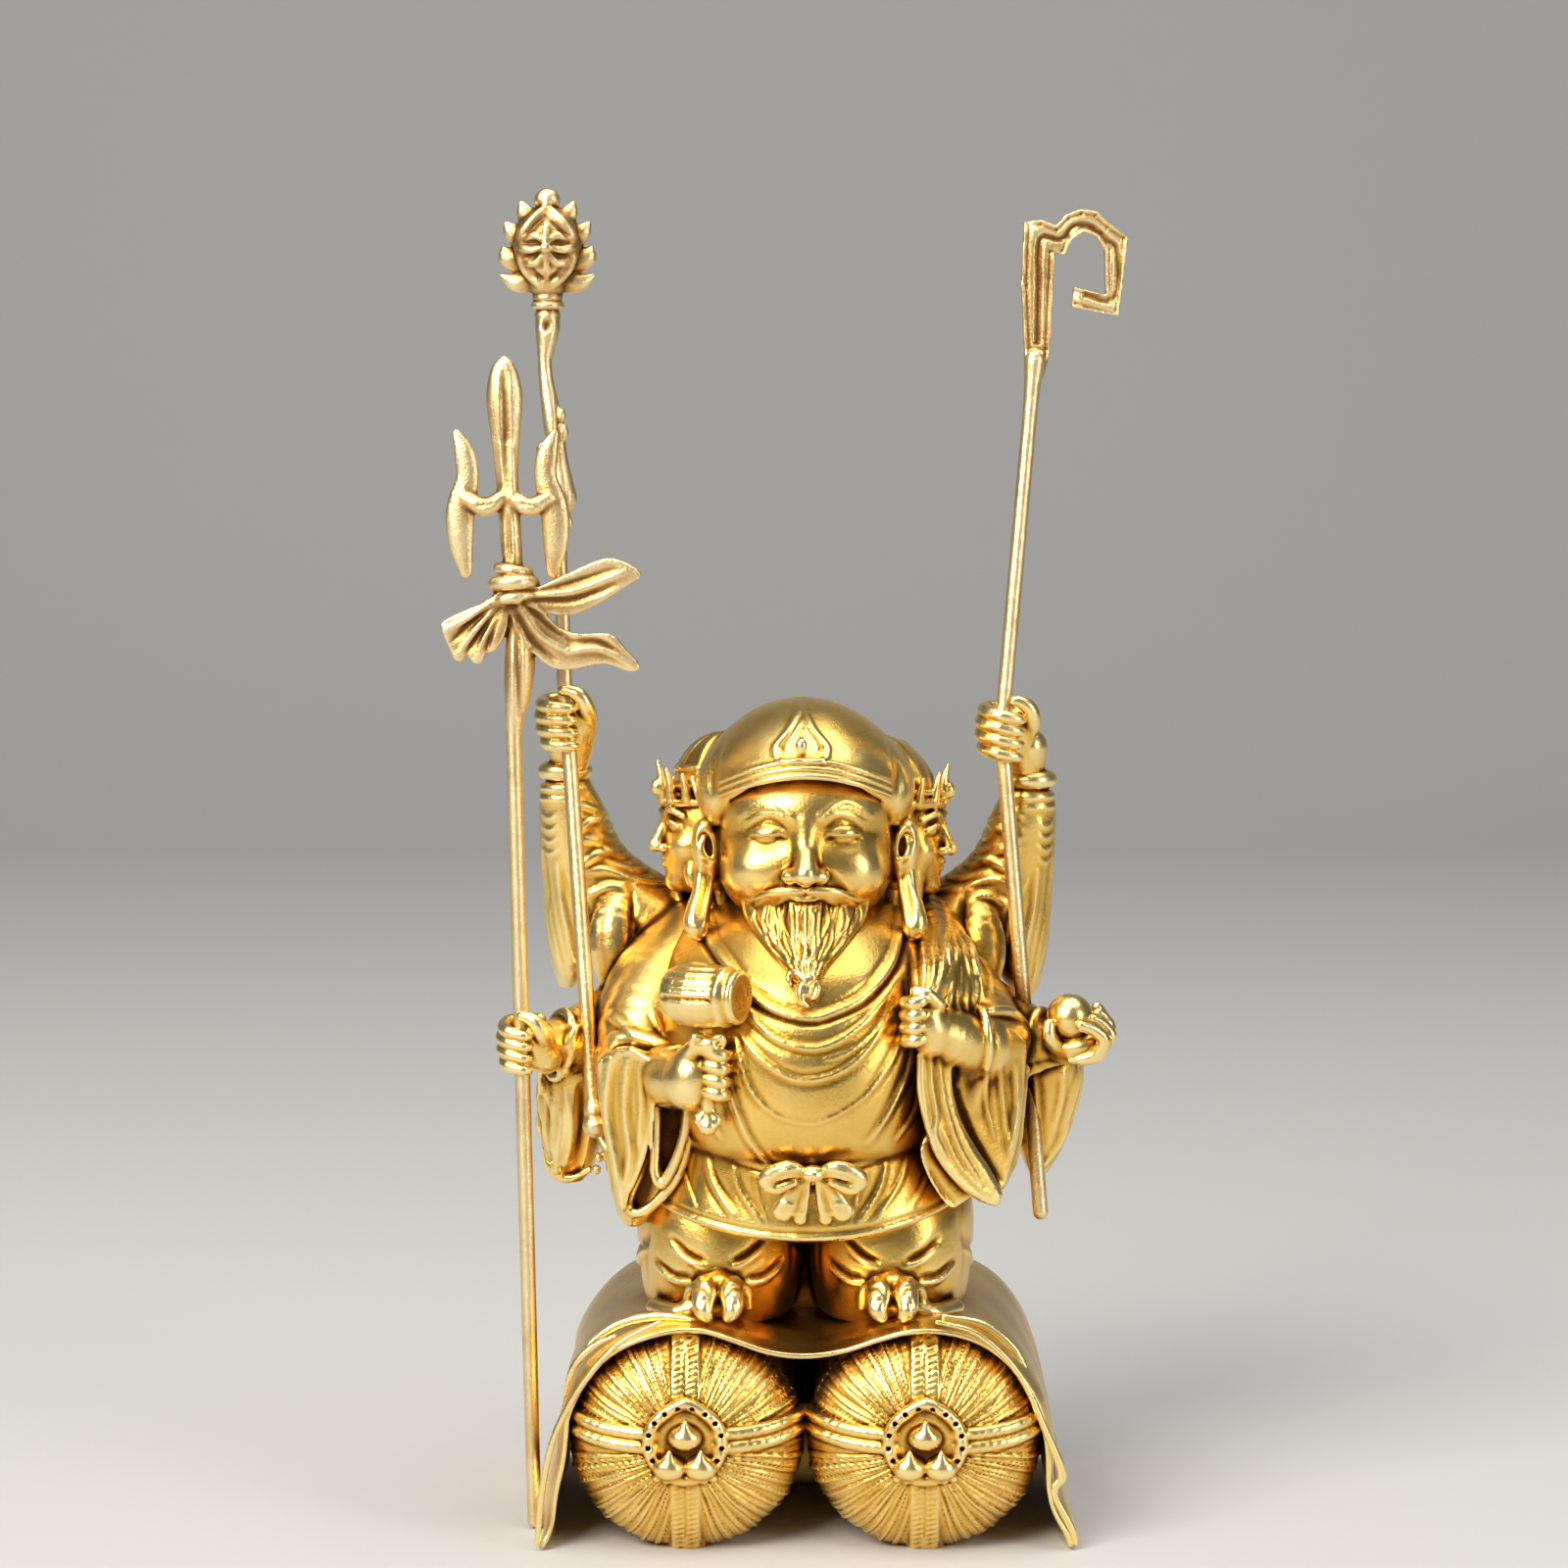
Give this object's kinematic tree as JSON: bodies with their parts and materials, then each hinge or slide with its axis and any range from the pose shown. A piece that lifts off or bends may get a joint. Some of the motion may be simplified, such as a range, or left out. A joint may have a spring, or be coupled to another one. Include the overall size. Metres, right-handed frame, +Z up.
{
  "type": "god of wealth statue",
  "caption": "Cast brass statuette of a smiling, many-armed god of wealth standing on rice bales with a mallet, jewel and sack, and loose trident, jewelled staff and key in his fists.",
  "frame": {"origin": "middle of the flat underside, on the surface that the statue stands on", "axes": "+Z up towards the heads, -Y out of the figure's front, +X to the viewer's right"},
  "size_m": [0.0823, 0.0576, 0.1618],
  "materials": {
    "cast_brass": "satin cast brass, pale on the high places and brown in the recesses",
    "staff_brass": "duller, paler and slightly pink brass with a fine grain"
  },
  "bodies": {
    "root": {"statue": "cast_brass", "trident": "staff_brass", "jewel_staff": "staff_brass", "key_staff": "staff_brass"}
  },
  "joints": []
}
